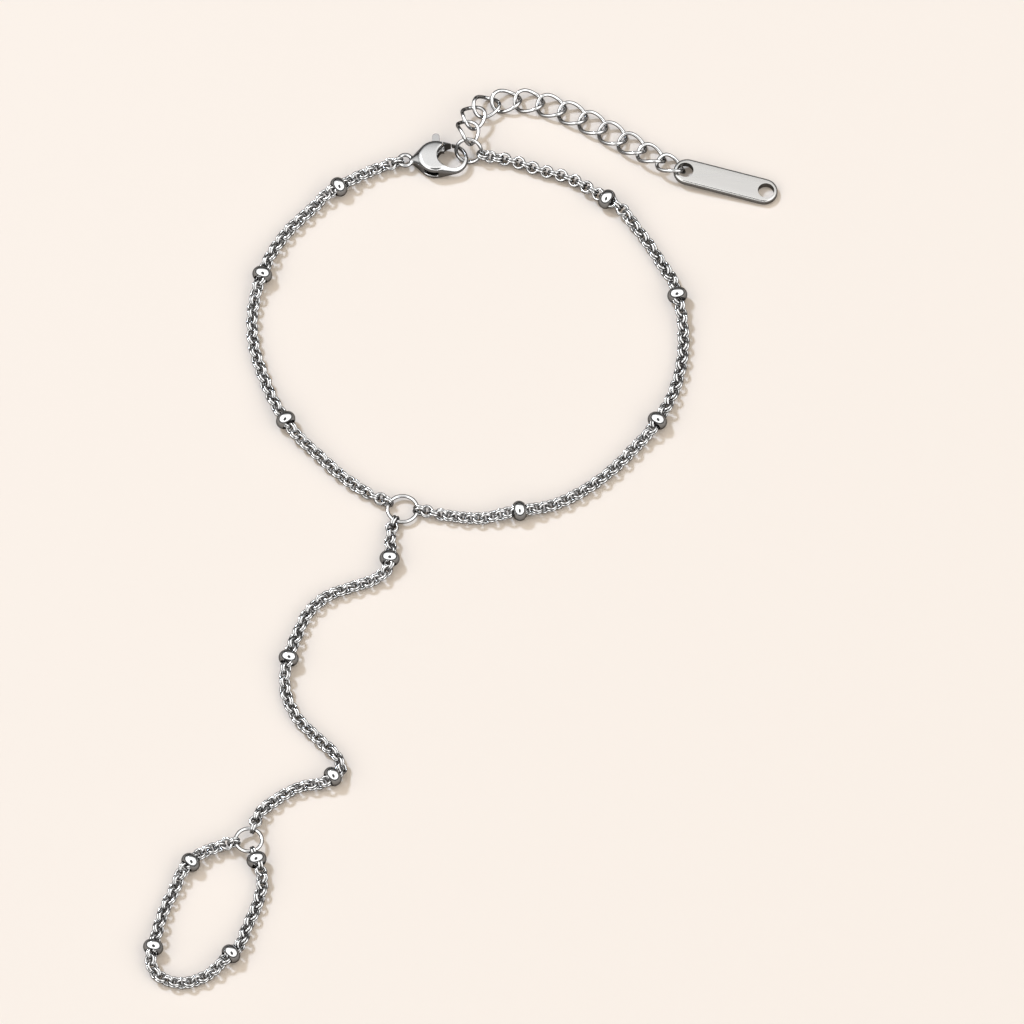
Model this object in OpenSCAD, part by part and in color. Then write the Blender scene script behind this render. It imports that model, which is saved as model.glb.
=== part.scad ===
// Hand chain bracelet, lying fastened on a flat surface: a wrist loop, a hand chain
// and a finger loop of fine chain with small beads, joined by plain rings, and a
// lobster clasp hooked to an end ring that also holds a curb extender and a flat tag.
// Millimetres, +Z up, +Y from the finger loop towards the clasp, origin on the
// surface under the middle of the whole.

/* [Loops] */
// Width across the wrist loop's chain, which the whole set of loops keeps in proportion to
wrist_loop_w = 57.5; // [55:0.5:66]

/* [Fine chain] */
// Width and height of the fine chain over its links
chain_w = 1.6; // [1.4:0.05:2]
// Wire of a fine link
link_wire = 0.33; // [0.25:0.01:0.4]
// Outer length of the link at each end of a fine chain
link_len = 1.9; // [1.8:0.05:2.4]

/* [Beads] */
// Diameter of a bead
bead_d = 2.7; // [2.5:0.05:3.4]
// Radius of a bead's rounded outer edge, seen in section
bead_round = 0.94; // [0.7:0.02:1.2]
// Room between the fine chain and a bead's hole, all round
bead_room = 0.1; // [0.05:0.01:0.15]

/* [Rings] */
// Outer diameter of the centre ring
centre_ring_d = 4.5; // [4.2:0.1:5.5]
// Outer diameter of the finger ring
finger_ring_d = 4; // [3.9:0.05:4.2]
// Outer diameter of the end ring
end_ring_d = 3.9; // [3.85:0.05:4.1]
// Wire of the rings
ring_wire = 0.5; // [0.4:0.02:0.54]

/* [Extender] */
// Outer length of a curb link
curb_len = 4.34; // [4.2:0.02:4.5]
// Outer width of a curb link
curb_w = 3.6; // [3.4:0.05:3.9]
// Wire of a curb link
curb_wire = 0.5; // [0.42:0.01:0.52]
// How far a curb link's twist lifts its wire, up and down
curb_twist = 0.5; // [0.4:0.02:0.6]

/* [Tag] */
// Length of the tag
tag_len = 14.3; // [11:0.1:18]
// Width of the tag, round ended
tag_w = 3.7; // [3.5:0.05:4.2]
// Thickness of the tag
tag_t = 1; // [0.8:0.05:1]
// Diameter of the tag's two holes
tag_hole_d = 2.2; // [2.1:0.05:2.4]
// Metal between each hole and the tag's end
tag_wall = 0.45; // [0.4:0.05:0.6]
// Radius of the tag's rounded edges
tag_edge = 0.35; // [0.1:0.05:0.39]

/* [Clasp] */
// Length of the clasp from the middle of its eye to the end of its claw
clasp_len = 8.45; // [8.3:0.05:8.8]
// Width of the clasp across its body
clasp_w = 4.8; // [4.6:0.05:5.1]
// Thickness of the clasp's body
clasp_t = 2.5; // [2.4:0.05:2.8]
// Thickness of the claw
claw_t = 1; // [0.9:0.05:1.1]
// Width of the claw's metal round its opening
claw_wall = 0.5; // [0.45:0.05:0.6]
// Outer diameter of the clasp's eye
eye_d = 2.3; // [2.2:0.05:2.6]
// Wire of the clasp's eye
eye_wire = 0.6; // [0.5:0.02:0.64]
// Height of the slot that the lever works in
slot_h = 0.9; // [0.8:0.05:1.1]
// Diameter of the lever's pin
pin_d = 0.7; // [0.5:0.05:0.8]
// Width of the lever's thumb tab
tab_w = 1; // [0.8:0.05:1.1]
// How far the thumb tab stands out of the body
tab_out = 1.6; // [1.2:0.05:1.9]

/* [Gaps] */
// Room between pieces that pass through each other
gap = 0.1; // [0.08:0.01:0.14]
// Room all round the pin in the lever
pin_room = 0.05; // [0.03:0.01:0.08]
// Room all round the pin in the clasp's body
pin_fit = 0.02; // [0.01:0.01:0.04]

/* [Hidden] */
$fn = 48;
tube_sides = 8;
wire_sides = 6;
link_steps = 14;
curb_steps = 16;

// Heights of the fine chain's middle, on the surface and through a bead.
chain_z = chain_w / 2;
bead_z = bead_d / 2;

// A bead's hole and half its length along it.
bead_hole = chain_w / 2 + bead_room;
bead_arc = bead_d / 2 - bead_round;
bead_half = sqrt(pow(bead_round, 2) - pow(bead_hole - bead_arc, 2));
// The chain runs straight through a bead and a little way out of it.
bead_lead = 0.4;
bead_straight = bead_half + bead_lead;

// The fine chains. A row of three numbers is a point of the route: x, y and how far
// the chain is raised, 0 on the surface and 1 at a bead's middle. A row of four is a
// bead: x, y, the heading of its hole, and 1, or 0 where the last link follows at once.
wrist_left_route = [
    [-11.5, 56.5, 0.4],
    [-16.6, 53.5, 212, 1],
    [-20, 50.5, 0],
    [-24, 46, 0],
    [-26.8, 39.9, 252, 1],
    [-28, 35, 0],
    [-28, 30, 0],
    [-26.5, 24, 0],
    [-23.6, 17.4, 301, 1],
    [-19.5, 12.5, 0],
    [-15.5, 8.5, 0],
    [-12, 6, 0]
];
wrist_right_route = [
    [-2.5, 3, 0],
    [2.5, 2.5, 0],
    [7.6, 3.4, 10, 1],
    [12, 4.5, 0],
    [16.5, 7, 0],
    [20.5, 10.5, 0],
    [23.5, 14, 0],
    [26, 17.3, 60, 1],
    [28.5, 23, 0],
    [29.5, 29, 0],
    [28.7, 36.7, 102, 1],
    [26.5, 42, 0],
    [23.5, 47, 0],
    [19.3, 51.6, 146, 1],
    [14.5, 55, 0],
    [10, 56.5, 0],
    [6, 58, 0]
];
hand_route = [
    [-9.5, 0.5, 0.2],
    [-9.7, -3.9, 265, 1],
    [-11, -6.5, 0.6],
    [-14.5, -8, 0],
    [-18, -9.5, 0],
    [-20.5, -12, 0],
    [-22, -15.5, 0.3],
    [-23.1, -19.2, 256, 1],
    [-23.5, -24, 0],
    [-22, -28, 0],
    [-19, -31.5, 0],
    [-16.5, -34.5, 0.6],
    [-17.2, -37.3, 220, 1],
    [-21, -38.5, 0],
    [-24.5, -40.5, 0],
    [-27, -43, 0.6]
];
finger_route = [
    [-32.5, -48, 0.7],
    [-36, -50.4, 227, 1],
    [-38, -54, 0],
    [-39.5, -57.5, 0],
    [-40.9, -63.3, 257, 1],
    [-40.8, -66.6, 0.2],
    [-37.5, -68.5, 0],
    [-34, -67.5, 0],
    [-30.6, -64.3, 47, 1],
    [-28.5, -60, 0],
    [-27, -56, 0],
    [-26.5, -53, 0.5],
    [-27.26, -50, 109, 0]
];

// The routes' places, times this, give a wrist loop of the width that is set.
loops = wrist_loop_w / (wrist_right_route[9][0] - wrist_left_route[6][0]);

// The rings: places of their middles, and the circle that the wire's middle follows.
centre_ring_at = [-8 * loops, 4 * loops, chain_z];
finger_ring_at = [-28.3 * loops, -47 * loops, bead_z];
centre_ring_r = (centre_ring_d - ring_wire) / 2;
finger_ring_r = (finger_ring_d - ring_wire) / 2;
end_ring_r = (end_ring_d - ring_wire) / 2;

// The clasp: its eye's middle, and its shape as three rounds, neck, body and claw.
clasp_at = [-7.7, 57.7] * loops;
clasp_z = clasp_t / 2;
clasp_eye_r = (eye_d - eye_wire) / 2;
neck_r = 0.55;
neck_at = [eye_d / 2 + 0.05, 0];
body_r = clasp_w / 2;
body_edge = 0.45;
claw_r = body_r - 0.1;
claw_edge = 0.44;
claw_at = [clasp_len - claw_r, 0.15];
body_back = 2.1;
body_at = [claw_at[0] - body_back, claw_at[1]];
// The opening lies nearer to the claw's end and to the lever's side.
claw_hole_in = 0.05;
claw_hole_at = [claw_at[0] - claw_hole_in, 0.3];
claw_hole_r = claw_r - claw_wall + claw_hole_in;

// The lever: its pin, and the stretch of claw that it closes, up to an end that is
// round about the pin.
pin_at = [body_at[0] - 0.5, 1];
pin_hold = 0.35;
// The pin's hole is a little deeper than the pin at each end.
pin_end_room = 0.05;
gate_left = body_at[0] + 1;
gate_low = claw_hole_at[1] + 0.7;
gate_reach = 2.85;
hub_r = pin_d / 2 + 0.5;
// The lever's arm from its hub to the gate: its near side, its width, and how far it
// runs into the gate.
arm_low = pin_at[1] + 0.2;
arm_w = 0.9;
arm_in = 0.2;
tab_at = pin_at[0] + 0.55;
// The slot is open on both sides of the body round the lever's hub, and on the
// lever's side as far as the opening.
slot_left = pin_at[0] - hub_r - 2 * gap;
slot_right = body_at[0] + 0.4;

// The end ring hooks round the claw and leans: its far side is up.
end_ring_at = [clasp_at[0] + clasp_len + 0.05, clasp_at[1] + 1.2, 1.7];
end_ring_lean = [56, -13];

// The extender's links: how each one turns and rolls. The first three come down from
// the end ring, and two near the tag rise to it; the rest lie on the surface.
curb_turns = [84, 69, 35, 6, -10, -20, -27, -31, -33, -33, -33, -31];
curb_rolls = [32, 15, 5, 0, 0, 0, 0, 0, 0, -6, -18, -26];
curb_links = len(curb_turns);
// Where the first link holds the end ring, an angle round the ring, and the heading
// and the slope down from there to the link's middle.
curb_angle = 83;
curb_heading = 92;
curb_lead_down = 4;
// How far the links that lie flat stay off the surface.
lift = 0.02;
curb_names = [for (i = [1:curb_links]) str("extender_link_", i < 10 ? "0" : "", i)];
curb_a = (curb_len - curb_wire) / 2;
curb_b = (curb_w - curb_wire) / 2;
curb_z = curb_twist + curb_wire / 2 + lift;
// What two links that hold each other share: a wire, the gap, and a little for bends.
curb_slack = 0.13;
curb_joint = curb_wire + gap + curb_slack;

function is_bead(row) = len(row) == 4;
wrist_beads = [for (row = concat(wrist_left_route, wrist_right_route)) if (is_bead(row)) row];
hand_beads = [for (row = hand_route) if (is_bead(row)) row];
finger_beads = [for (row = finger_route) if (is_bead(row)) row];

// Directions and frames.
function heading(a) = [cos(a), sin(a), 0];
function slope(down, a) = [cos(down) * cos(a), cos(down) * sin(a), -sin(down)];
function unit(v) = v / norm(v);

// The middle line of a chain between its two end links: a bead's row becomes the
// two ends of its straight stretch.
function place(row) = [row[0], row[1], 0] * loops;
function route_points(route) = [
    for (row = route)
        each is_bead(row)
            ? [for (s = row[3] == 1 ? [-1, 1] : [-1])
                place(row) + [0, 0, bead_z] + s * bead_straight * heading(row[2])]
            : [place(row) + [0, 0, chain_z + row[2] * (bead_z - chain_z)]]
];

// An end link's near end holds a ring's wire, and its far end meets the chain. Both
// are distances from the middle of the ring's wire.
link_a = (link_len - link_wire) / 2;
link_b = (chain_w - link_wire) / 2;
function link_middle(wire) = link_a - (wire + link_wire) / 2 - gap;
function chain_start(wire) = link_middle(wire) + link_a - link_wire / 4;

// Rings of points across a path. Side is a direction that no part of the path takes.
function path_step(path, i, closed) =
    let (n = len(path),
        before = closed ? path[(i + n - 1) % n] : path[max(i - 1, 0)],
        after = closed ? path[(i + 1) % n] : path[min(i + 1, n - 1)])
    unit(after - before);
function ring_points(centre, along, side, r, sides) =
    let (u = unit(cross(along, side)), v = cross(u, along))
    [for (k = [0:sides - 1]) centre + r * (cos((k + 0.5) * 360 / sides) * u + sin((k + 0.5) * 360 / sides) * v)];

module sweep(path, r, sides, side, closed) {
    n = len(path);
    points = [for (i = [0:n - 1]) each ring_points(path[i], path_step(path, i, closed), side, r, sides)];
    walls = [
        for (i = [0:n - (closed ? 1 : 2)], k = [0:sides - 1])
            let (a = i * sides, b = ((i + 1) % n) * sides, l = (k + 1) % sides)
            each [[a + k, a + l, b + l], [a + k, b + l, b + k]]
    ];
    caps = closed ? [] : [
        for (k = [1:sides - 2]) each [[0, k + 1, k], [(n - 1) * sides, (n - 1) * sides + k, (n - 1) * sides + k + 1]]
    ];
    polyhedron(points = points, faces = concat(walls, caps), convexity = 6);
}

// The oval link at a chain's end, standing on edge and then rolled about its length.
module end_link(middle, along, roll) {
    level = unit(cross([0, 0, 1], along));
    up = cos(roll) * cross(along, level) + sin(roll) * level;
    path = [for (k = [0:link_steps - 1]) middle
        + link_a * cos(k * 360 / link_steps) * along
        + link_b * sin(k * 360 / link_steps) * up];
    sweep(path, link_wire / 2, wire_sides, cross(along, up), true);
}

// A fine chain: a tube along its route and the link at each end. Each end is given as
// the place on the ring's wire that it holds, the direction out, the ring's wire, and
// the end link's roll.
module fine_chain(route, first, last) {
    inner = route_points(route);
    a = first[0] + chain_start(first[2]) * first[1];
    b = last[0] + chain_start(last[2]) * last[1];
    color("silver") {
        sweep(concat([a], inner, [b]), chain_w / 2, tube_sides, [0, 0, 1], false);
        for (end = [first, last]) end_link(end[0] + link_middle(end[2]) * end[1], end[1], end[3]);
    }
}

// A chain's end on a flat ring, straight out at an angle.
function ring_end(at, radius, angle) = [at + radius * heading(angle), heading(angle), ring_wire, 0];

// A direction in the plane of the leaning end ring.
function leaning(angle) =
    let (y = sin(angle) * cos(end_ring_lean[0]), z = sin(angle) * sin(end_ring_lean[0]))
    [cos(angle) * cos(end_ring_lean[1]) + z * sin(end_ring_lean[1]), y,
        z * cos(end_ring_lean[1]) - cos(angle) * sin(end_ring_lean[1])];

// Where each chain leaves the eye and the rings: angles round them, how steeply the
// chain comes down from the two that stand high, and the end link's roll there.
eye_heading = 194;
eye_down = 7;
centre_left_heading = 152;
centre_right_heading = 354;
centre_hand_heading = 242;
finger_hand_heading = 72;
finger_left_heading = 190;
finger_right_heading = 289;
end_ring_angle = -25;
end_ring_heading = -12;
end_ring_down = 14;
end_ring_roll = -60;
eye_end = [[clasp_at[0], clasp_at[1], clasp_z] + clasp_eye_r * heading(eye_heading),
    slope(eye_down, eye_heading), eye_wire, 0];
centre_left_end = ring_end(centre_ring_at, centre_ring_r, centre_left_heading);
centre_right_end = ring_end(centre_ring_at, centre_ring_r, centre_right_heading);
centre_hand_end = ring_end(centre_ring_at, centre_ring_r, centre_hand_heading);
finger_hand_end = ring_end(finger_ring_at, finger_ring_r, finger_hand_heading);
finger_left_end = ring_end(finger_ring_at, finger_ring_r, finger_left_heading);
finger_right_end = ring_end(finger_ring_at, finger_ring_r, finger_right_heading);
end_ring_end = [end_ring_at + end_ring_r * leaning(end_ring_angle),
    slope(end_ring_down, end_ring_heading), ring_wire, end_ring_roll];

module wrist_chain_left() { fine_chain(wrist_left_route, eye_end, centre_left_end); }
module wrist_chain_right() { fine_chain(wrist_right_route, centre_right_end, end_ring_end); }
module hand_chain() { fine_chain(hand_route, centre_hand_end, finger_hand_end); }
module finger_chain() { fine_chain(finger_route, finger_left_end, finger_right_end); }

// A bead: a thick round ring, its hole along the chain's heading.
module bead(row) {
    color("gainsboro")
    translate(place(row) + [0, 0, bead_z])
    rotate([90, 0, row[2] + 90])
    rotate_extrude()
    intersection() {
        translate([bead_arc, 0]) circle(r = bead_round);
        translate([bead_hole, -bead_round]) square([bead_d, 2 * bead_round]);
    }
}

module ring(at, radius) {
    color("silver")
    translate(at)
    rotate_extrude()
    translate([radius, 0]) circle(d = ring_wire, $fn = 24);
}
module centre_ring() { ring(centre_ring_at, centre_ring_r); }
module finger_ring() { ring(finger_ring_at, finger_ring_r); }
module end_ring() {
    color("silver")
    translate(end_ring_at)
    rotate([end_ring_lean[0], end_ring_lean[1], 0])
    rotate_extrude()
    translate([end_ring_r, 0]) circle(d = ring_wire, $fn = 24);
}

// The first link's middle, out of the end ring's far side, and how steeply the first
// three come down so that the rest lie on the surface.
curb_start = end_ring_at + end_ring_r * leaning(curb_angle)
    + (curb_a - (ring_wire + curb_wire) / 2 - gap - lift) * slope(curb_lead_down, curb_heading);
curb_down = asin((curb_start[2] - curb_z) / (5 * curb_a - 2.5 * curb_joint));
// How steeply two links near the tag rise, so that the last one is level with the
// middle of the tag's lifted end.
tag_room = 0.08;
tag_lift = curb_wire + gap + tag_room;
curb_up = asin((tag_lift + tag_t / 2 - curb_z) / (4 * curb_a - 2 * curb_joint));
function curb_slope(i) = i < 3 ? curb_down : i == curb_links - 3 || i == curb_links - 2 ? -curb_up : 0;
function curb_along(i) = slope(curb_slope(i), curb_turns[i]);
function curb_middle(i) = i == 0
    ? curb_start
    : let (both = curb_along(i - 1) + curb_along(i))
        curb_middle(i - 1) + curb_a * both - curb_joint * unit(both);

module extender_link(i) {
    path = [for (k = [0:curb_steps - 1])
        let (t = k * 360 / curb_steps) [curb_a * cos(t), curb_b * sin(t), -curb_twist * sin(2 * t)]];
    color("silver")
    translate(curb_middle(i))
    rotate([curb_rolls[i], curb_slope(i), curb_turns[i]])
    sweep(path, curb_wire / 2, wire_sides, [0, 0, 1], true);
}

// The tag rests on the surface at its free end. The last link's far end goes over the
// metal at its other end and down through the hole.
tag_hole_in = tag_wall + tag_hole_d / 2;
tag_turn = -15;
// The heading from the last link's middle to the metal at the tag's hole.
tag_heading = -42;
// Slack between the metal at the hole and the last link's end.
tag_slack = 0.55;
tag_tilt = asin(tag_lift / tag_len);
tag_at = curb_middle(curb_links - 1) + (curb_a - (curb_wire + tag_wall) / 2 - gap - tag_slack) * heading(tag_heading)
    - tag_wall / 2 * heading(tag_turn);

module tag_section() {
    half = tag_w / 2;
    square([half - tag_edge, tag_t]);
    translate([0, tag_edge]) square([half, tag_t - 2 * tag_edge]);
    for (z = [tag_edge, tag_t - tag_edge]) translate([half - tag_edge, z]) circle(r = tag_edge, $fn = 32);
}

module extender_tag() {
    color("lightgray")
    translate([tag_at[0], tag_at[1], tag_lift])
    rotate([0, tag_tilt, tag_turn])
    difference() {
        union() {
            for (x = [tag_w / 2, tag_len - tag_w / 2]) translate([x, 0, 0]) rotate_extrude() tag_section();
            for (s = [0, 1])
                translate([tag_w / 2, 0, 0])
                rotate([90, 0, 90])
                mirror([s, 0, 0])
                linear_extrude(tag_len - tag_w) tag_section();
        }
        for (x = [tag_hole_in, tag_len - tag_hole_in])
            translate([x, 0, -1]) cylinder(d = tag_hole_d, h = tag_t + 2);
    }
}

// A round plate with rounded edges.
module pebble(r, t, edge) {
    rotate_extrude()
    polygon(concat(
        [[0, -t / 2]],
        [for (a = [-90:22.5:0]) [r - edge + edge * cos(a), edge - t / 2 + edge * sin(a)]],
        [for (a = [0:22.5:90]) [r - edge + edge * cos(a), t / 2 - edge + edge * sin(a)]],
        [[0, t / 2]]
    ));
}

// The clasp's whole form, before its opening, slot and lever are cut.
module clasp_form() {
    hull() {
        translate([neck_at[0], neck_at[1], 0]) sphere(r = neck_r, $fn = 24);
        translate([body_at[0], body_at[1], 0]) pebble(body_r, clasp_t, body_edge);
        translate([claw_at[0], claw_at[1], 0]) pebble(claw_r, claw_t, claw_edge);
    }
}

// The stretch of claw that the lever closes, grown by room on the side that is cut.
module gate_zone(room) {
    intersection() {
        translate([gate_left - room, gate_low - room, -clasp_t])
            cube([clasp_w, clasp_w, 2 * clasp_t]);
        translate([pin_at[0], pin_at[1], -clasp_t]) cylinder(r = gate_reach + room, h = 2 * clasp_t);
    }
}

module clasp_place() {
    translate([clasp_at[0], clasp_at[1], clasp_z]) children();
}

module clasp_body() {
    color("silver")
    clasp_place() {
        difference() {
            union() {
                clasp_form();
                rotate_extrude() translate([clasp_eye_r, 0]) circle(d = eye_wire, $fn = 24);
            }
            translate([claw_hole_at[0], claw_hole_at[1], -clasp_t]) cylinder(r = claw_hole_r, h = 2 * clasp_t);
            gate_zone(gap);
            translate([slot_left, -clasp_w, -slot_h / 2]) cube([slot_right - slot_left, 2 * clasp_w, slot_h]);
            translate([slot_left, 0, -slot_h / 2]) cube([claw_hole_at[0] - slot_left, clasp_w, slot_h]);
            translate([pin_at[0], pin_at[1], -slot_h / 2 - pin_hold - pin_end_room])
                cylinder(d = pin_d + 2 * pin_fit, h = slot_h + 2 * (pin_hold + pin_end_room));
        }
    }
}

module clasp_pin() {
    color("darkgray")
    clasp_place()
    translate([pin_at[0], pin_at[1], -slot_h / 2 - pin_hold])
    cylinder(d = pin_d, h = slot_h + 2 * pin_hold);
}

module clasp_lever() {
    tongue_h = slot_h - 2 * gap;
    color("gainsboro")
    clasp_place()
    difference() {
        union() {
            intersection() {
                difference() {
                    clasp_form();
                    translate([claw_hole_at[0], claw_hole_at[1], -clasp_t]) cylinder(r = claw_hole_r, h = 2 * clasp_t);
                }
                gate_zone(0);
            }
            translate([pin_at[0], pin_at[1], -tongue_h / 2]) cylinder(r = hub_r, h = tongue_h);
            translate([pin_at[0], arm_low, -tongue_h / 2]) cube([gate_left + arm_in - pin_at[0], arm_w, tongue_h]);
            translate([tab_at - tab_w / 2, pin_at[1], -tongue_h / 2])
                cube([tab_w, body_r + tab_out - pin_at[1] - tab_w / 2, tongue_h]);
            translate([tab_at, body_r + tab_out - tab_w / 2, -tongue_h / 2]) cylinder(d = tab_w, h = tongue_h);
        }
        translate([pin_at[0], pin_at[1], -clasp_t]) cylinder(d = pin_d + 2 * pin_room, h = 2 * clasp_t);
    }
}

wrist_bead_names = [for (i = [1:len(wrist_beads)]) str("wrist_bead_", i)];
hand_bead_names = [for (i = [1:len(hand_beads)]) str("hand_bead_", i)];
finger_bead_names = [for (i = [1:len(finger_beads)]) str("finger_bead_", i)];

wrist_chain_left();
wrist_chain_right();
hand_chain();
finger_chain();
centre_ring();
finger_ring();
end_ring();
clasp_body();
clasp_lever();
clasp_pin();
extender_tag();
for (i = [0:len(wrist_beads) - 1])
    bead(wrist_beads[i]);
for (i = [0:len(hand_beads) - 1])
    bead(hand_beads[i]);
for (i = [0:len(finger_beads) - 1])
    bead(finger_beads[i]);
for (i = [0:curb_links - 1])
    extender_link(i);
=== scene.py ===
"""Looks for the hand chain bracelet, lying fastened on a pale surface.

Sizes are in millimetres, as in the part's source, and become metres in mm().
"""
import math

import bmesh
import bpy
from mathutils import Matrix, Vector


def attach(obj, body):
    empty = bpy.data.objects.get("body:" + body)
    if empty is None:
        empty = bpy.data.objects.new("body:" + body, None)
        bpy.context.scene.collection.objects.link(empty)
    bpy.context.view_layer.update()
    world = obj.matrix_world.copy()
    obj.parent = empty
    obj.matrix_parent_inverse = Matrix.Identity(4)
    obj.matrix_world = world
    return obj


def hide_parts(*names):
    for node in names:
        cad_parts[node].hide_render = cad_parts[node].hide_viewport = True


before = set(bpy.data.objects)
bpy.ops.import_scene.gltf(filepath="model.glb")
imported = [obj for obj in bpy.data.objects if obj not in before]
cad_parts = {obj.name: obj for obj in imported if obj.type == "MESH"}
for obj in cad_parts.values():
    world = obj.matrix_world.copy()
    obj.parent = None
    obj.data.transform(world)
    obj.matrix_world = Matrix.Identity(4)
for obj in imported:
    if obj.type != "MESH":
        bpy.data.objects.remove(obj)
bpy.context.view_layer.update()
ROOT = "bracelet"
LEVER = "lever"
MM = 0.001


def mm(*values):
    """A point given in millimetres, in metres."""
    return Vector(values) * MM


def heading(angle, down=0.0):
    """A direction at an angle in the level plane, tipped down by some degrees."""
    a = math.radians(angle)
    d = math.radians(down)
    return Vector((math.cos(d) * math.cos(a), math.cos(d) * math.sin(a), -math.sin(d)))


def even_grey(level):
    return (level, level, level, 1)


def ease(t):
    """From 0 to 1 with a soft start and end."""
    t = min(1.0, max(0.0, t))
    return t * t * (3 - 2 * t)


def link_to_scene(thing):
    bpy.context.scene.collection.objects.link(thing)
    return thing


class Maker:
    """Adds nodes to a node tree, with their sockets set or linked."""

    def __init__(self, tree):
        self.tree = tree

    def add(self, kind, settings=None, **inputs):
        node = self.tree.nodes.new(kind)
        for key, value in (settings or {}).items():
            setattr(node, key, value)
        for key, value in inputs.items():
            self.put(node, key, value)
        return node

    def put(self, node, key, value):
        """Fills one socket: i0 is the first, and Base_Color the one called Base Color."""
        by_number = key[0] == "i" and key[1:].isdigit()
        spot = node.inputs[int(key[1:]) if by_number else key.replace("_", " ")]
        if isinstance(value, bpy.types.NodeSocket):
            self.tree.links.new(value, spot)
        else:
            spot.default_value = value

    def math(self, operation, a, b=0.0):
        return self.add("ShaderNodeMath", {"operation": operation}, i0=a, i1=b).outputs[0]

    def vector(self, x, y, z):
        return self.add("ShaderNodeCombineXYZ", X=x, Y=y, Z=z).outputs[0]

    def eased(self, value, source, target):
        """Takes one range of values softly to another."""
        node = self.add("ShaderNodeMapRange", {"interpolation_type": "SMOOTHSTEP"}, Value=value,
                        From_Min=source[0], From_Max=source[1], To_Min=target[0], To_Max=target[1])
        return node.outputs["Result"]

    def blend(self, share, first, second, how="MIX"):
        """Two colours mixed, or one multiplied by the other."""
        node = self.add("ShaderNodeMix", {"data_type": "RGBA", "blend_type": how},
                        i0=share, i6=first, i7=second)
        return node.outputs[2]

    def circle(self, steps, radius):
        node = self.add("GeometryNodeCurvePrimitiveCircle", {"mode": "RADIUS"},
                        Resolution=steps, Radius=radius)
        return node.outputs[0]

    def of_wire(self, shape, wire, sides):
        """Round wire bent along a curve."""
        section = self.circle(sides, self.math("MULTIPLY", wire, 0.5))
        return self.add("GeometryNodeCurveToMesh", Curve=shape, Profile_Curve=section).outputs[0]


# Camera, surface and light. The scene's own sizes are in metres.

ELEVATION = math.radians(60)
CAMERA_DISTANCE = 5.0
VIEW_WIDTH = 0.1365
VIEW_MIDDLE = mm(6.6, 4.0, 0)
NEAREST = 0.1
FARTHEST = 40
# The sensor's width is in millimetres, as Blender takes it.
SENSOR = 36

FLOOR_COLOUR = (0.87, 0.81, 0.765, 1)
FLOOR_HALF = 2.0
FLOOR_DROP = 0.00001
FLOOR_ROUGHNESS = 0.65
FLOOR_GLOSS = 0.2
# How much of the floor's colour the steel mirrors: a painted darker reflection of the floor, which
# shades the steel's edges.
FLOOR_REFLECTION_SHADE = 0.35

# The tent's grey at each height, from level to straight up.
TENT_GREYS = ((0.0, 0.03), (0.12, 0.03), (0.24, 0.2), (0.4, 1.3), (0.7, 1.85), (1.0, 1.6))
TENT_STRENGTH = 1.15
# The tent's light as it falls on matt surfaces.
FILL_TINT = (0.294, 0.247, 0.181, 1)
# The dark oval opening: half its width and height, and how far out its shade starts, as the
# square of the distance in those halves. It is darkest from one less than that inwards.
OPENING_WIDTH = 0.34
OPENING_HEIGHT = 0.42
OPENING_EDGE = 1.6
OPENING_GREY = 0.04
# The tent is brighter on the near side, and its far wall is darker.
NEAR_GAIN = 1.8
NEAR_FADE = (-0.2, 0.4)
FAR_GREY = 0.15
FAR_FADE = (0.52, 0.72)

# The key light is aimed at the origin.
KEY_PLACE = Vector((-1.35, 1.2, 2.4))
KEY_POWER = 47
KEY_SIZE = 0.4
KEY_TINT = (0.72, 0.84, 1.0)


def make_camera():
    lens = bpy.data.cameras.new("camera")
    lens.sensor_width = SENSOR
    lens.lens = SENSOR * CAMERA_DISTANCE / VIEW_WIDTH
    lens.clip_start = NEAREST
    lens.clip_end = FARTHEST
    camera = link_to_scene(bpy.data.objects.new("camera", lens))
    back = Vector((0, -math.cos(ELEVATION), math.sin(ELEVATION)))
    camera.location = VIEW_MIDDLE + back * CAMERA_DISTANCE
    camera.rotation_euler = (math.radians(90) - ELEVATION, 0, 0)
    bpy.context.scene.camera = camera


def make_key_light():
    light = bpy.data.lights.new("key", "AREA")
    light.energy = KEY_POWER
    light.size = KEY_SIZE
    light.color = KEY_TINT
    lamp = link_to_scene(bpy.data.objects.new("key", light))
    lamp.location = KEY_PLACE
    lamp.rotation_euler = (-KEY_PLACE).to_track_quat("-Z", "Y").to_euler()


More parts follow.
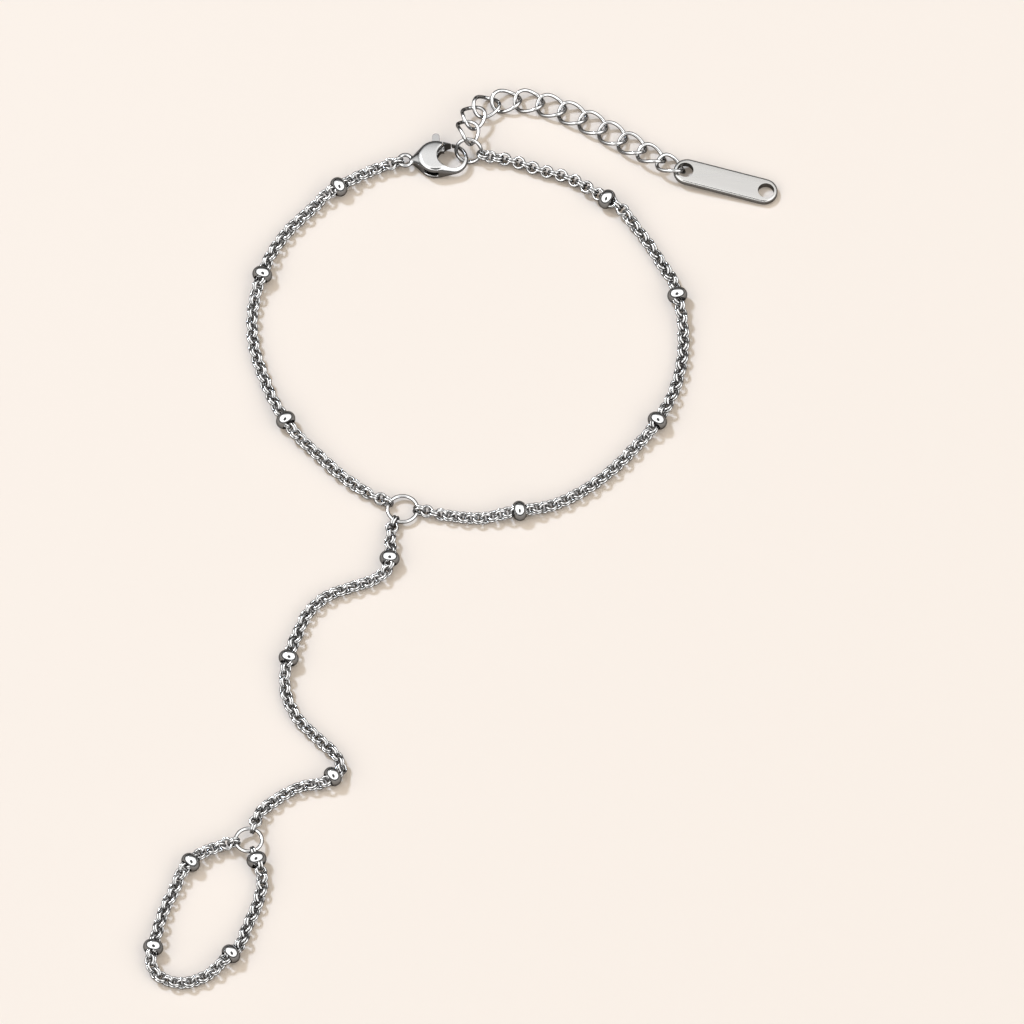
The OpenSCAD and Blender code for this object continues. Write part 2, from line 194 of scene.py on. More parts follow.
def make_tent():
    """A light tent: bright overhead, grey low down, with a dark opening on the camera's side."""
    world = bpy.data.worlds.new("studio")
    bpy.context.scene.world = world
    world.use_nodes = True
    m = Maker(world.node_tree)
    direction = m.add("ShaderNodeTexCoord").outputs["Generated"]

    def along(*axis):
        node = m.add("ShaderNodeVectorMath", {"operation": "DOT_PRODUCT"}, i0=direction, i1=axis)
        return node.outputs["Value"]

    bands = m.add("ShaderNodeValToRGB", i0=along(0, 0, 1))
    stops = bands.color_ramp.elements
    for place, level in TENT_GREYS[1:-1]:
        stops.new(place)
    for stop, (place, level) in zip(stops, TENT_GREYS):
        stop.position = place
        stop.color = even_grey(level)

    # The opening is an oval about the camera's direction.
    sideways = m.math("DIVIDE", along(1, 0, 0), OPENING_WIDTH)
    upward = m.math("DIVIDE", along(0, math.sin(ELEVATION), math.cos(ELEVATION)), OPENING_HEIGHT)
    out = m.math("ADD", m.math("MULTIPLY", sideways, sideways), m.math("MULTIPLY", upward, upward))
    ahead = m.math("GREATER_THAN", along(0, -math.cos(ELEVATION), math.sin(ELEVATION)))
    inside = m.math("MULTIPLY", ahead, m.math("SUBTRACT", OPENING_EDGE, out))
    opening = m.eased(inside, (0.0, 1.0), (1.0, OPENING_GREY))
    near = m.eased(along(0, 1, 0), NEAR_FADE, (NEAR_GAIN, 1.0))
    far = m.eased(along(0, 1, 0), FAR_FADE, (1.0, FAR_GREY))
    shade = m.math("MULTIPLY", m.math("MULTIPLY", opening, near), far)
    tent = m.blend(1.0, bands.outputs[0], shade, "MULTIPLY")

    falls_on_matt = m.add("ShaderNodeLightPath").outputs["Is Diffuse Ray"]
    tint = m.blend(falls_on_matt, even_grey(1.0), FILL_TINT)
    background = world.node_tree.nodes["Background"]
    m.put(background, "Color", m.blend(1.0, tent, tint, "MULTIPLY"))
    m.put(background, "Strength", TENT_STRENGTH)


def make_floor():
    """A pale surface, painted darker where the steel mirrors it: painted shade in the steel's
    reflections.
    """
    mesh = bpy.data.meshes.new("surface")
    half = FLOOR_HALF
    corners = [(-half, -half, 0), (half, -half, 0), (half, half, 0), (-half, half, 0)]
    mesh.from_pydata(corners, [], [(0, 1, 2, 3)])
    floor = link_to_scene(bpy.data.objects.new("surface", mesh))
    floor.location = (0, 0, -FLOOR_DROP)
    paint = bpy.data.materials.new("pale_surface")
    paint.use_nodes = True
    shader = paint.node_tree.nodes["Principled BSDF"]
    m = Maker(paint.node_tree)
    # The steel mirrors a darker copy of the floor: a painted dark reflection along its edges.
    mirrored = m.add("ShaderNodeLightPath").outputs["Is Glossy Ray"]
    darker = [FLOOR_REFLECTION_SHADE * part for part in FLOOR_COLOUR[:3]] + [1]
    m.put(shader, "Base_Color", m.blend(mirrored, FLOOR_COLOUR, darker))
    m.put(shader, "Roughness", FLOOR_ROUGHNESS)
    m.put(shader, "Specular_IOR_Level", FLOOR_GLOSS)
    mesh.materials.append(paint)


# Finishes.

POLISH_SCALE = 900
POLISH_DETAIL = 3
SCRATCH_SCALE = 4000
SCRATCH_DEPTH = 0.00005
# The tag's polish is drawn out along x, which is nearly along the tag.
TAG_GRAIN = (0.15, 3, 1)
TAG_TURN = math.radians(15)


def steel(name, tint, edge, roughness, wear, relief=0.02, grain=(1, 1, 1), turn=0.0):
    """Steel that is rougher by its wear in places. At a slant it mirrors a share, its edge, which
    is painted shade that darkens its outlines.
    """
    material = bpy.data.materials.new(name)
    material.use_nodes = True
    shader = material.node_tree.nodes["Principled BSDF"]
    m = Maker(material.node_tree)
    m.put(shader, "Metallic", 1.0)
    m.put(shader, "Base_Color", (*tint, 1))
    # The edge tint darkens the steel's reflections at a slant: painted shade for dark outlines.
    m.put(shader, "Specular_Tint", even_grey(edge))
    place = m.add("ShaderNodeTexCoord").outputs["Object"]
    spread = m.add("ShaderNodeMapping", Vector=place, Rotation=(0, 0, turn), Scale=grain).outputs[0]
    polish = m.add("ShaderNodeTexNoise", Vector=spread, Scale=POLISH_SCALE, Detail=POLISH_DETAIL)
    rough = m.add("ShaderNodeMapRange", Value=polish.outputs["Fac"],
                  To_Min=roughness, To_Max=roughness + wear)
    m.put(shader, "Roughness", rough.outputs["Result"])
    scratches = m.add("ShaderNodeTexNoise", Vector=spread, Scale=SCRATCH_SCALE)
    bump = m.add("ShaderNodeBump", Strength=relief, Distance=SCRATCH_DEPTH,
                 Height=scratches.outputs["Fac"])
    m.put(shader, "Normal", bump.outputs["Normal"])
    return material


chain_steel = steel("chain_steel", (0.48, 0.475, 0.47), edge=0.02, roughness=0.03, wear=0.05)
bead_steel = steel("bead_steel", (0.54, 0.535, 0.53), edge=0.05, roughness=0.05, wear=0.04)
ring_steel = steel("ring_steel", (0.54, 0.535, 0.53), edge=0.02, roughness=0.04, wear=0.04)
clasp_steel = steel("clasp_steel", (0.4, 0.395, 0.39), edge=0.15, roughness=0.12, wear=0.06)
# The lever is the clasp's steel made darker: painted shade that tones down the light on its tab.
lever_shaded_steel = steel("lever_shaded_steel", (0.3, 0.295, 0.29), edge=0.15, roughness=0.12, wear=0.06)
tag_steel = steel("tag_steel", (0.385, 0.375, 0.36), edge=0.35, roughness=0.21, wear=0.1,
                  relief=0.05, grain=TAG_GRAIN, turn=TAG_TURN)


# Sizes and places of rings, chains, beads and clasp, as in the part's source.

GAP = 0.1
CHAIN_WIDTH = 1.6
CHAIN_HEIGHT = CHAIN_WIDTH / 2
LINK_WIRE = 0.33
END_LINK = 1.9

BEAD_ACROSS = 2.7
BEAD_HEIGHT = BEAD_ACROSS / 2
BEAD_ROUND = 0.94
BEAD_HOLE = CHAIN_WIDTH / 2 + GAP
BEAD_ARC = BEAD_HEIGHT - BEAD_ROUND
BEAD_HALF = math.sqrt(BEAD_ROUND ** 2 - (BEAD_HOLE - BEAD_ARC) ** 2)
# The chain runs straight through a bead as far as this from its middle.
BEAD_STRAIGHT = BEAD_HALF + 0.4

RING_WIRE = 0.5
CENTRE_RING = Vector((-8, 4, CHAIN_HEIGHT))
CENTRE_ACROSS = 4.5
FINGER_RING = Vector((-28.3, -47, BEAD_HEIGHT))
FINGER_ACROSS = 4.0
CLASP = Vector((-7.7, 57.7, 1.25))
CLASP_LENGTH = 8.45
# The middle of the clasp's body, and how far its rim is from there.
CLASP_MIDDLE = (CLASP.x + 4.05, CLASP.y + 0.15, CLASP.z)
CLASP_HALF = 2.4
EYE_WIRE = 0.6
EYE_ACROSS = 2.3
EYE_RADIUS = (EYE_ACROSS - EYE_WIRE) / 2
END_RING = Vector((CLASP.x + CLASP_LENGTH + 0.05, CLASP.y + 1.2, 1.7))
END_TURN = Matrix.Rotation(math.radians(-13), 3, "Y") @ Matrix.Rotation(math.radians(56), 3, "X")
END_ACROSS = 3.9

# Headings of the end links round the flat rings: left, right and hand chain at the centre
# ring, then hand chain and the finger chain's two ends at the finger ring.
CENTRE_LINKS = (152, 354, 242)
FINGER_LINKS = (72, 190, 289)
# Heading and dip of the links at the clasp's eye and the end ring, in degrees, and where
# round the leaning end ring the right chain and the extender are held.
EYE_LINK = (194, 7)
END_RING_LINK = (-12, 14)
CHAIN_HOLD = -25
FIRST_CURB = (92, 4)
CURB_HOLD = 83

# A row of three is x, y and how far the chain is raised towards a bead's middle. A row
# of four is a bead: x, y, the heading of its hole, and 0 where the chain ends past it.
WRIST_LEFT = [
    (-11.5, 56.5, 0.4), (-16.6, 53.5, 212, 1), (-20, 50.5, 0), (-24, 46, 0),
    (-26.8, 39.9, 252, 1), (-28, 35, 0), (-28, 30, 0), (-26.5, 24, 0),
    (-23.6, 17.4, 301, 1), (-19.5, 12.5, 0), (-15.5, 8.5, 0), (-12, 6, 0)]
WRIST_RIGHT = [
    (-2.5, 3, 0), (2.5, 2.5, 0), (7.6, 3.4, 10, 1), (12, 4.5, 0), (16.5, 7, 0),
    (20.5, 10.5, 0), (23.5, 14, 0), (26, 17.3, 60, 1), (28.5, 23, 0), (29.5, 29, 0),
    (28.7, 36.7, 102, 1), (26.5, 42, 0), (23.5, 47, 0), (19.3, 51.6, 146, 1),
    (14.5, 55, 0), (10, 56.5, 0), (6, 58, 0)]
HAND = [
    (-9.5, 0.5, 0.2), (-9.7, -3.9, 265, 1), (-11, -6.5, 0.6), (-14.5, -8, 0),
    (-18, -9.5, 0), (-20.5, -12, 0), (-22, -15.5, 0.3), (-23.1, -19.2, 256, 1),
    (-23.5, -24, 0), (-22, -28, 0), (-19, -31.5, 0), (-16.5, -34.5, 0.6),
    (-17.2, -37.3, 220, 1), (-21, -38.5, 0), (-24.5, -40.5, 0), (-27, -43, 0.6)]
FINGER = [
    (-32.5, -48, 0.7), (-36, -50.4, 227, 1), (-38, -54, 0), (-39.5, -57.5, 0),
    (-40.9, -63.3, 257, 1), (-40.8, -66.6, 0.2), (-37.5, -68.5, 0), (-34, -67.5, 0),
    (-30.6, -64.3, 47, 1), (-28.5, -60, 0), (-27, -56, 0), (-26.5, -53, 0.5),
    (-27.26, -50, 109, 0)]


# Making pieces.

# Edges sharper than this stay sharp, in a mesh made here and in a solid's copy.
MADE_SHARP = math.radians(50)
COPY_SHARP = math.radians(40)
# Points of a solid's mesh that are nearer than this are one point.
SAME_POINT = 1e-7
SMOOTHING = 0.5
# How much a softened top falls off towards the clasp's rim, as a share of its height.
DOME = 0.1


def finish_piece(piece, body, slot, *nodes):
    """The piece stands for its solids, and rides with their body."""
    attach(piece, body)
    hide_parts(*nodes)


def mesh_piece(name, points, faces, material):
    """A smooth mesh from points in millimetres."""
    mesh = bpy.data.meshes.new(name)
    mesh.from_pydata([mm(*p) for p in points], [], faces)
    mesh.materials.append(material)
    mesh.shade_smooth()
    mesh.set_sharp_from_angle(angle=MADE_SHARP)
    return link_to_scene(bpy.data.objects.new(name, mesh))


def smooth_copy(name, node, material):
    """A CAD solid's own form with joined points, so that its round faces shade smoothly."""
    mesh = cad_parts[node].data.copy()
    mesh.name = name
    shell = bmesh.new()
    shell.from_mesh(mesh)
    bmesh.ops.remove_doubles(shell, verts=shell.verts, dist=SAME_POINT)
    shell.to_mesh(mesh)
    shell.free()
    mesh.materials.clear()
    mesh.materials.append(material)
    mesh.shade_smooth()
    mesh.set_sharp_from_angle(angle=COPY_SHARP)
    return link_to_scene(bpy.data.objects.new(name, mesh))


def softened_copy(name, node, material, grain, rounds):
    """A CAD solid's form in a fine even mesh, with its edges eased and its top a little domed."""
    rough = smooth_copy(name + "_rough", node, material)
    skin = rough.modifiers.new("skin", "REMESH")
    skin.mode = "VOXEL"
    skin.voxel_size = grain * MM
    skin.use_smooth_shade = True
    tumble = rough.modifiers.new("tumble", "SMOOTH")
    tumble.factor = SMOOTHING
    tumble.iterations = rounds
    ready = rough.evaluated_get(bpy.context.evaluated_depsgraph_get())
    mesh = bpy.data.meshes.new_from_object(ready)
    mesh.name = name
    mesh.shade_smooth()
    middle = mm(*CLASP_MIDDLE).to_2d()
    for point in mesh.vertices:
        height = point.co.z - MM * CLASP.z
        out = (point.co.to_2d() - middle).length / (MM * CLASP_HALF)
        if height > 0:
            point.co.z -= DOME * height * min(1.0, out) ** 2
    bpy.data.objects.remove(rough)
    return link_to_scene(bpy.data.objects.new(name, mesh))


def tube_faces(start, rows, size):
    """Faces of a closed tube whose rows of points follow each other from a start."""
    faces = []
    for i in range(rows):
        here = start + i * size
        there = start + ((i + 1) % rows) * size
        for k in range(size):
            after = (k + 1) % size
            faces.append((here + k, there + k, there + after, here + after))
    return faces


def new_tree(name, inputs):
    """The maker of a tree that takes geometry and named sizes, and gives geometry."""
    tree = bpy.data.node_groups.new(name, "GeometryNodeTree")
    tree.interface.new_socket(name="Geometry", in_out="INPUT", socket_type="NodeSocketGeometry")
    for label, kind, value in inputs:
        made = tree.interface.new_socket(name=label, in_out="INPUT", socket_type=kind)
        if value is not None:
            made.default_value = value
    tree.interface.new_socket(name="Geometry", in_out="OUTPUT", socket_type="NodeSocketGeometry")
    return Maker(tree)


def finish_tree(m, links, material):
    """The links become one real mesh of their steel, which the tree gives."""
    real = m.add("GeometryNodeRealizeInstances", Geometry=links)
    smooth = m.add("GeometryNodeSetShadeSmooth", Geometry=real.outputs[0])
    dressed = m.add("GeometryNodeSetMaterial", Geometry=smooth.outputs[0], Material=material)
    m.add("NodeGroupOutput", i0=dressed.outputs[0])
    return m.tree


def apply_tree(host, tree, values):
    """The tree's result on the host, as a plain mesh."""
    modifier = host.modifiers.new("make", "NODES")
    modifier.node_group = tree
    for item in tree.interface.items_tree:
        if item.in_out == "INPUT" and item.name in values:
            modifier[item.identifier] = values[item.name]
    ready = host.evaluated_get(bpy.context.evaluated_depsgraph_get())
    mesh = bpy.data.meshes.new_from_object(ready)
    host.modifiers.remove(modifier)
    name = host.name
    bpy.data.objects.remove(host)
    mesh.name = name
    return link_to_scene(bpy.data.objects.new(name, mesh))


# Rings.

RING_STEPS = 64
RING_SIDES = 16


def ring_piece(node, middle, across, turn):
    """A closed round ring of wire: its middle, outer diameter, and how it is turned."""
    radius = (across - RING_WIRE) / 2
    points = []
    for i in range(RING_STEPS):
        a = 2 * math.pi * i / RING_STEPS
        for k in range(RING_SIDES):
            b = 2 * math.pi * k / RING_SIDES
            out = radius + RING_WIRE / 2 * math.cos(b)
            spot = Vector((out * math.cos(a), out * math.sin(a), RING_WIRE / 2 * math.sin(b)))
            points.append(middle + turn @ spot)
    piece = mesh_piece(node + "_form", points, tube_faces(0, RING_STEPS, RING_SIDES), ring_steel)
    finish_piece(piece, ROOT, "link_steel", node)


def make_rings():
    ring_piece("centre_ring", CENTRE_RING, CENTRE_ACROSS, Matrix.Identity(3))
    ring_piece("finger_ring", FINGER_RING, FINGER_ACROSS, Matrix.Identity(3))
    ring_piece("end_ring", END_RING, END_ACROSS, END_TURN)


# The fine chains.

LINK_ACROSS = 1.8
LINK_PITCH = 1.0
PAIR_SPACING = 0.36
# How far the two links of a pair lean apart, and how far a pair may turn, in radians.
LINK_SPLAY = 0.07
LINK_LOOSENESS = 0.12
LINK_STEPS = 14
LINK_SIDES = 6
# The points of a chain's route are about this far apart, with at least two to a stretch.
ROUTE_STEP = 0.25
# Degrees that a chain is rolled about its run where it lies free.
LAID_ROLL = 45.0
# Shares of its run where the right chain starts to lie flat and over which it does so, the
# share that a chain which never lies flat has instead, and the roll at the end ring.
FLAT_FROM = 0.75
FLAT_WITHIN = 0.06
NEVER_FLAT = 1.0
END_RING_ROLL = -60.0
# A chain keeps the roll of its end link this far, and has left it this much further on.
END_HELD = 0.6
END_BLEND = 3.0


def end_link_middle(wire):
    """How far an end link's middle lies from the ring's wire that it holds."""
    return (END_LINK - LINK_WIRE) / 2 - (wire + LINK_WIRE) / 2 - GAP


def flat_ring_end(middle, across, angle):
    """Where a chain's end link lies at a flat ring, and which way it leaves."""
    out = heading(angle)
    return middle + (across - RING_WIRE) / 2 * out + end_link_middle(RING_WIRE) * out, out


def leaning(angle):
    """A direction in the end ring's own plane."""
    a = math.radians(angle)
    return END_TURN @ Vector((math.cos(a), math.sin(a), 0))


def end_ring_end():
    out = heading(*END_RING_LINK)
    held = END_RING + (END_ACROSS - RING_WIRE) / 2 * leaning(CHAIN_HOLD)
    return held + end_link_middle(RING_WIRE) * out, out


def eye_end():
    out = heading(*EYE_LINK)
    return CLASP + EYE_RADIUS * heading(EYE_LINK[0]) + end_link_middle(EYE_WIRE) * out, out


def route_stops(rows, first, last):
    """The points that a route passes, each with its direction where that is given."""
    stops = [first]
    for row in rows:
        if len(row) == 4:
            middle = Vector((row[0], row[1], BEAD_HEIGHT))
            along = heading(row[2])
            stops.append((middle - BEAD_STRAIGHT * along, along))
            if row[3]:
                stops.append((middle + BEAD_STRAIGHT * along, along))
        else:
            height = CHAIN_HEIGHT + row[2] * (BEAD_HEIGHT - CHAIN_HEIGHT)
            stops.append((Vector((row[0], row[1], height)), None))
    stops.append((last[0], -last[1]))
    return stops


def smooth_route(stops):
    """Close points along the chain's middle, straight through each bead."""
    ways = []
    for i, (point, way) in enumerate(stops):
        if way is None:
            before = point - stops[i - 1][0]
            after = stops[i + 1][0] - point
            way = before / before.length ** 2 + after / after.length ** 2
        ways.append(way.normalized())
    path = []
    for i in range(len(stops) - 1):
        a = stops[i][0]
        b = stops[i + 1][0]
        reach = (b - a).length
        steps = max(2, int(reach / ROUTE_STEP))
        for k in range(steps):
            t = k / steps
            place = (2 * t ** 3 - 3 * t ** 2 + 1) * a + (3 * t ** 2 - 2 * t ** 3) * b
            place += reach * ((t ** 3 - 2 * t ** 2 + t) * ways[i] + (t ** 3 - t ** 2) * ways[i + 1])
            place.z = max(place.z, CHAIN_HEIGHT)
            path.append(place)
    path.append(stops[-1][0])
    return path


def link_reach(roll):
    """How far below the chain's middle its links reach, at a roll."""
    level = abs(math.cos(roll))
    upright = abs(math.sin(roll))
    half = (LINK_ACROSS - LINK_WIRE) / 2
    spread = PAIR_SPACING / 2
    return LINK_WIRE / 2 + max(half * level + spread * upright, half * upright + spread * level)


def rest_on_surface(path, flat_from, last_roll):
    """The roll at each point of a path, in radians. Lifts the points so that no link sinks in."""
    run = [0.0]
    for a, b in zip(path, path[1:]):
        run.append(run[-1] + (b - a).length)
    rolls = []
    for i, s in enumerate(run):
        along = (path[min(i + 1, len(path) - 1)] - path[max(i - 1, 0)]).normalized()
        # The lean shows the photograph's view the same side of the chain all along.
        lean = math.degrees(math.atan2(math.cos(ELEVATION) * along.x, math.sin(ELEVATION)))
        inner = LAID_ROLL * (1 - ease((s / run[-1] - flat_from) / FLAT_WITHIN)) + lean
        off_first = ease((s - END_HELD) / END_BLEND)
        off_last = ease((run[-1] - s - END_HELD) / END_BLEND)
        rolls.append(math.radians(last_roll * (1 - off_last) + inner * off_first * off_last))
        path[i].z = max(path[i].z, link_reach(rolls[-1]))
    return rolls


def cable_tree():
    """Pairs of oval links along a path, each pair crossways to the last."""
    m = new_tree("cable_chain", [
        ("Link length", "NodeSocketFloat", LINK_ACROSS * MM),
        ("Link width", "NodeSocketFloat", LINK_ACROSS * MM),
        ("Wire", "NodeSocketFloat", LINK_WIRE * MM),
        ("Pair spacing", "NodeSocketFloat", PAIR_SPACING * MM),
        ("Pitch", "NodeSocketFloat", LINK_PITCH * MM),
        ("Splay", "NodeSocketFloat", LINK_SPLAY),
        ("Looseness", "NodeSocketFloat", LINK_LOOSENESS),
        ("Seed", "NodeSocketInt", 1),
        ("Steel", "NodeSocketMaterial", None)])
    given = m.add("NodeGroupInput").outputs

    # One link, and two of them side by side.
    long = m.math("SUBTRACT", given["Link length"], given["Wire"])
    wide = m.math("SUBTRACT", given["Link width"], given["Wire"])
    oval = m.add("GeometryNodeTransform", Geometry=m.circle(LINK_STEPS, 0.5),
                 Scale=m.vector(long, wide, 1.0))
    link = m.of_wire(oval.outputs[0], given["Wire"], LINK_SIDES)
    pair = m.add("GeometryNodeJoinGeometry")
    for side in (-1, 1):
        apart = m.math("MULTIPLY", given["Pair spacing"], 0.5 * side)
        lean = m.math("MULTIPLY", given["Splay"], side)
        placed = m.add("GeometryNodeTransform", Geometry=link,
                       Translation=m.vector(0.0, 0.0, apart), Rotation=m.vector(0.0, lean, 0.0))
        m.put(pair, "i0", placed.outputs[0])

    # An odd number of places, so that both end pairs stand the same way.
    curve = m.add("GeometryNodeMeshToCurve", Mesh=given["Geometry"])
    level = m.add("GeometryNodeSetCurveNormal", {"mode": "Z_UP"}, Curve=curve.outputs[0])
    roll = m.add("GeometryNodeInputNamedAttribute", {"data_type": "FLOAT"}, Name="roll")
    tilted = m.add("GeometryNodeSetCurveTilt", Curve=level.outputs[0], Tilt=roll.outputs[0])
    rolled = tilted.outputs[0]
    reach = m.add("GeometryNodeCurveLength", Curve=rolled).outputs[0]
    twos = m.math("ROUND", m.math("DIVIDE", reach, m.math("MULTIPLY", given["Pitch"], 2.0)))
    count = m.math("ADD", m.math("MULTIPLY", twos, 2.0), 1.0)
    spots = m.add("GeometryNodeCurveToPoints", {"mode": "COUNT"}, Curve=rolled, Count=count)

    # Each pair is turned a quarter from the last, and a little out of true.
    facing = m.add("FunctionNodeAxesToRotation", {"primary_axis": "X", "secondary_axis": "Y"},
                   Primary_Axis=spots.outputs["Tangent"], Secondary_Axis=spots.outputs["Normal"])
    index = m.add("GeometryNodeInputIndex").outputs[0]
    quarters = m.math("ADD", m.math("MODULO", index, 2.0), 1.0)
    wobble = m.add("FunctionNodeRandomValue", {"data_type": "FLOAT"}, Seed=given["Seed"],
                   i2=m.math("MULTIPLY", given["Looseness"], -1.0), i3=given["Looseness"])
    angle = m.math("ADD", m.math("MULTIPLY", quarters, math.pi / 2), wobble.outputs[1])
    about = m.add("FunctionNodeAxisAngleToRotation", Axis=(1, 0, 0), Angle=angle)
    turned = m.add("FunctionNodeRotateRotation", {"rotation_space": "LOCAL"},
                   Rotation=facing.outputs[0], Rotate_By=about.outputs[0])
    links = m.add("GeometryNodeInstanceOnPoints", Points=spots.outputs["Points"],
                  Instance=pair.outputs[0], Rotation=turned.outputs[0])
    return finish_tree(m, links.outputs[0], given["Steel"])


def chain_piece(tree, name, stops, seed, flat_from=NEVER_FLAT, last_roll=0.0):
    """A fine chain of real links, from one ring to the next."""
    path = smooth_route(stops)
    rolls = rest_on_surface(path, flat_from, last_roll)
    mesh = bpy.data.meshes.new(name + "_links")
    mesh.from_pydata([mm(*p) for p in path], [(i, i + 1) for i in range(len(path) - 1)], [])
    marks = mesh.attributes.new("roll", "FLOAT", "POINT")
    for i, roll in enumerate(rolls):
        marks.data[i].value = roll
    host = link_to_scene(bpy.data.objects.new(name + "_links", mesh))
    piece = apply_tree(host, tree, {"Seed": seed, "Steel": chain_steel})
    finish_piece(piece, ROOT, "chain_steel", name)


def make_chains():
    tree = cable_tree()
    centre = [flat_ring_end(CENTRE_RING, CENTRE_ACROSS, angle) for angle in CENTRE_LINKS]
    finger = [flat_ring_end(FINGER_RING, FINGER_ACROSS, angle) for angle in FINGER_LINKS]
    left = route_stops(WRIST_LEFT, eye_end(), centre[0])
    right = route_stops(WRIST_RIGHT, centre[1], end_ring_end())
    hand = route_stops(HAND, centre[2], finger[0])
    loop = route_stops(FINGER, finger[1], finger[2])
    chain_piece(tree, "wrist_chain_left", left, 1)
    chain_piece(tree, "wrist_chain_right", right, 2, FLAT_FROM, END_RING_ROLL)
    chain_piece(tree, "hand_chain", hand, 3)
    chain_piece(tree, "finger_chain", loop, 4)


# Beads.

BEAD_ARC_STEPS = 20
BEAD_STEPS = 48
# A row of points this far inside the hole keeps its edge crisp.
BEAD_LIP = 0.06


def bead_section():
    """The bead's half section as radius and place along its hole, all round."""
    reach = math.acos((BEAD_HOLE - BEAD_ARC) / BEAD_ROUND)
    rows = []
    for i in range(BEAD_ARC_STEPS + 1):
        a = -reach + 2 * reach * i / BEAD_ARC_STEPS
        rows.append((BEAD_ARC + BEAD_ROUND * math.cos(a), BEAD_ROUND * math.sin(a)))
    rows.append((BEAD_HOLE, BEAD_HALF - BEAD_LIP))
    rows.append((BEAD_HOLE, BEAD_LIP - BEAD_HALF))
    return rows


def bead_points(row, section):
    """A bead's points: its half section, turned about its hole."""
    middle = Vector((row[0], row[1], BEAD_HEIGHT))
    along = heading(row[2])
    side = Vector((-along.y, along.x, 0))
    up = Vector((0, 0, 1))
    points = []
    for i in range(BEAD_STEPS):
        a = 2 * math.pi * i / BEAD_STEPS
        for out, place in section:
            points.append(middle + out * (math.cos(a) * side + math.sin(a) * up) + place * along)
    return points


def make_beads():
    section = bead_section()
    points = []
    faces = []
    names = []
    for group, rows in (("wrist", WRIST_LEFT + WRIST_RIGHT), ("hand", HAND), ("finger", FINGER)):
        beads = [row for row in rows if len(row) == 4]
        for number, row in enumerate(beads, 1):
            names.append(f"{group}_bead_{number}")
            faces += tube_faces(len(points), BEAD_STEPS, len(section))
            points += bead_points(row, section)
    piece = mesh_piece("beads", points, faces, bead_steel)
    finish_piece(piece, ROOT, "bead_steel", *names)


# The extender's curb links and tag, with the sizes of the part's source.

CURB_LENGTH = 4.34
CURB_WIDTH = 3.6
CURB_WIRE = 0.5
CURB_TWIST = 0.5
CURB_STEPS = 56
CURB_SIDES = 12
# Each link's heading, and its roll about it.
CURB_TURNS = [84, 69, 35, 6, -10, -20, -27, -31, -33, -33, -33, -31]
CURB_ROLLS = [32, 15, 5, 0, 0, 0, 0, 0, 0, -6, -18, -26]
TAG_THICK = 1.0
# Room beyond the gap: between two links, at the first and under the lying ones, at the tag.
CURB_SLACK = 0.13
CURB_CLEAR = 0.02
TAG_CLEAR = 0.08
# This many links come down from the end ring, and this many rise to the tag.
CURBS_DOWN = 3
CURBS_UP = 2


def curb_places():
    """Each curb link's middle and its turn, worked out as in the part's source."""
    half = (CURB_LENGTH - CURB_WIRE) / 2
    joint = CURB_WIRE + GAP + CURB_SLACK
    level = CURB_TWIST + CURB_WIRE / 2 + CURB_CLEAR
    held = END_RING + (END_ACROSS - RING_WIRE) / 2 * leaning(CURB_HOLD)
    middle = held + (half - (RING_WIRE + CURB_WIRE) / 2 - GAP - CURB_CLEAR) * heading(*FIRST_CURB)
    # A run of sloping links has a half link at each change of slope, and its share of a joint.
    down_run = (2 * CURBS_DOWN - 1) * half - (CURBS_DOWN - 0.5) * joint
    down = math.degrees(math.asin((middle.z - level) / down_run))
    lift = CURB_WIRE + GAP + TAG_CLEAR
    up_run = 2 * CURBS_UP * half - CURBS_UP * joint
    up = math.degrees(math.asin((lift + TAG_THICK / 2 - level) / up_run))
    count = len(CURB_TURNS)
    places = []
    for i, turn in enumerate(CURB_TURNS):
        rises = count - 1 - CURBS_UP <= i < count - 1
        slope = down if i < CURBS_DOWN else -up if rises else 0.0
        along = heading(turn, slope)
        if i:
            both = before + along
            middle = middle + half * both - joint * both.normalized()
        before = along
        facing = Matrix.Rotation(math.radians(turn), 3, "Z")
        facing = facing @ Matrix.Rotation(math.radians(slope), 3, "Y")
        facing = facing @ Matrix.Rotation(math.radians(CURB_ROLLS[i]), 3, "X")
        places.append((middle, facing))
    return places


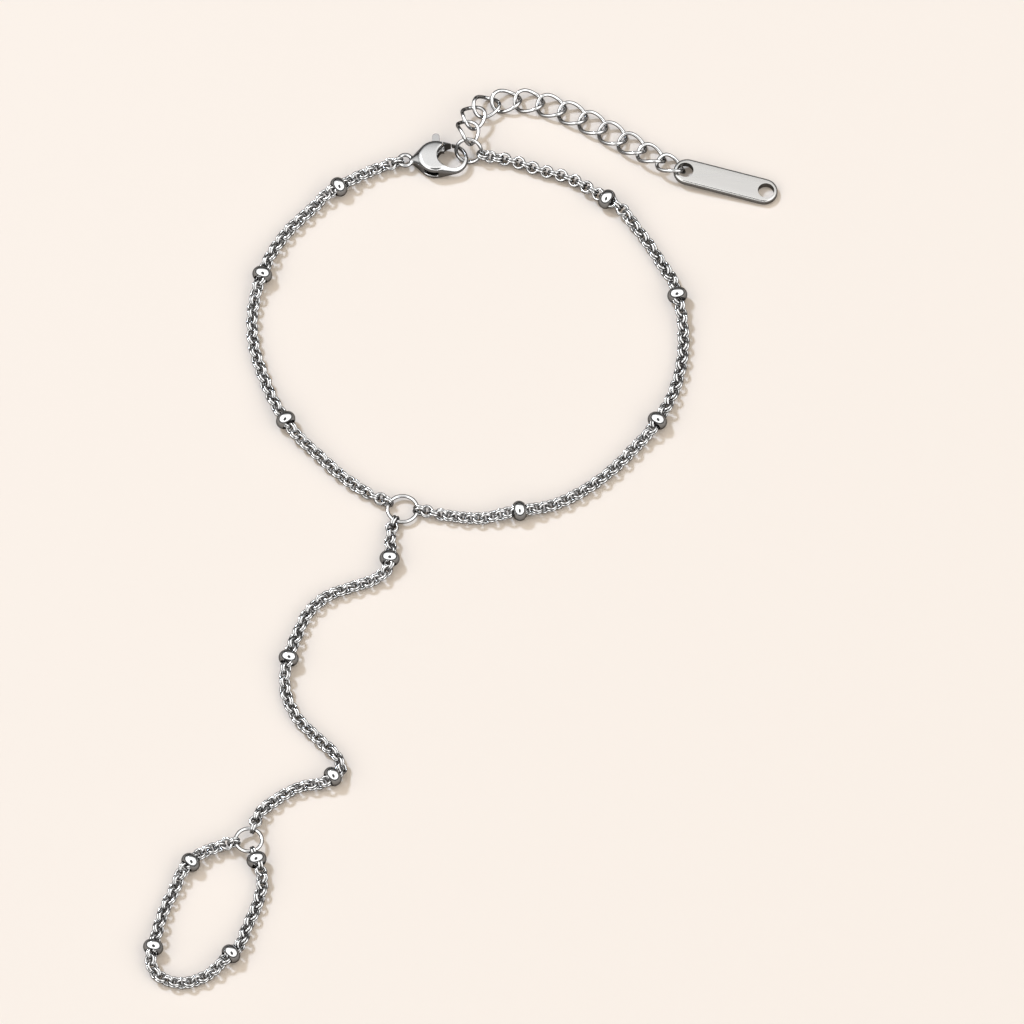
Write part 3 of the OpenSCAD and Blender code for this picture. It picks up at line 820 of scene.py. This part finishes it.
def curb_tree():
    """A twisted oval link on each point of the host, turned by its attribute."""
    m = new_tree("curb_links", [
        ("Link length", "NodeSocketFloat", CURB_LENGTH * MM),
        ("Link width", "NodeSocketFloat", CURB_WIDTH * MM),
        ("Wire", "NodeSocketFloat", CURB_WIRE * MM),
        ("Twist", "NodeSocketFloat", CURB_TWIST * MM),
        ("Steel", "NodeSocketMaterial", None)])
    given = m.add("NodeGroupInput").outputs
    index = m.add("GeometryNodeInputIndex").outputs[0]
    turn = m.math("MULTIPLY", index, 2 * math.pi / CURB_STEPS)
    long = m.math("MULTIPLY", m.math("SUBTRACT", given["Link length"], given["Wire"]), 0.5)
    wide = m.math("MULTIPLY", m.math("SUBTRACT", given["Link width"], given["Wire"]), 0.5)
    x = m.math("MULTIPLY", m.math("COSINE", turn), long)
    y = m.math("MULTIPLY", m.math("SINE", turn), wide)
    rise = m.math("MULTIPLY", m.math("SINE", m.math("MULTIPLY", turn, 2.0)), given["Twist"])
    z = m.math("MULTIPLY", rise, -1.0)
    twisted = m.add("GeometryNodeSetPosition", Geometry=m.circle(CURB_STEPS, 1.0),
                    Position=m.vector(x, y, z))
    link = m.of_wire(twisted.outputs[0], given["Wire"], CURB_SIDES)
    facing = m.add("GeometryNodeInputNamedAttribute", {"data_type": "FLOAT_VECTOR"}, Name="facing")
    turned = m.add("FunctionNodeEulerToRotation", Euler=facing.outputs[0])
    links = m.add("GeometryNodeInstanceOnPoints", Points=given["Geometry"],
                  Instance=link, Rotation=turned.outputs[0])
    return finish_tree(m, links.outputs[0], given["Steel"])


def make_extender():
    places = curb_places()
    mesh = bpy.data.meshes.new("extender_links")
    mesh.from_pydata([mm(*middle) for middle, facing in places], [], [])
    turns = mesh.attributes.new("facing", "FLOAT_VECTOR", "POINT")
    for i, (middle, facing) in enumerate(places):
        turns.data[i].vector = facing.to_euler("XYZ")
    host = link_to_scene(bpy.data.objects.new("extender_links", mesh))
    piece = apply_tree(host, curb_tree(), {"Steel": ring_steel})
    names = [f"extender_link_{number:02d}" for number in range(1, len(places) + 1)]
    finish_piece(piece, ROOT, "link_steel", *names)
    tag = smooth_copy("tag_form", "extender_tag", tag_steel)
    finish_piece(tag, ROOT, "tag_steel", "extender_tag")


# The clasp: how fine its meshes are, and how many rounds of smoothing ease their edges.

CLASP_GRAIN = 0.05
CLASP_ROUNDS = 60
LEVER_GRAIN = 0.04
LEVER_ROUNDS = 5


def make_clasp():
    body = softened_copy("clasp_form", "clasp_body", clasp_steel, CLASP_GRAIN, CLASP_ROUNDS)
    finish_piece(body, ROOT, "clasp_steel", "clasp_body")
    lever = softened_copy("lever_form", "clasp_lever", lever_shaded_steel, LEVER_GRAIN, LEVER_ROUNDS)
    finish_piece(lever, LEVER, "clasp_steel", "clasp_lever")
    pin = smooth_copy("pin_form", "clasp_pin", clasp_steel)
    finish_piece(pin, ROOT, "clasp_steel", "clasp_pin")


make_camera()
make_tent()
make_floor()
make_key_light()
bpy.context.scene.view_settings.view_transform = "Standard"
make_chains()
make_beads()
make_extender()
make_rings()
make_clasp()
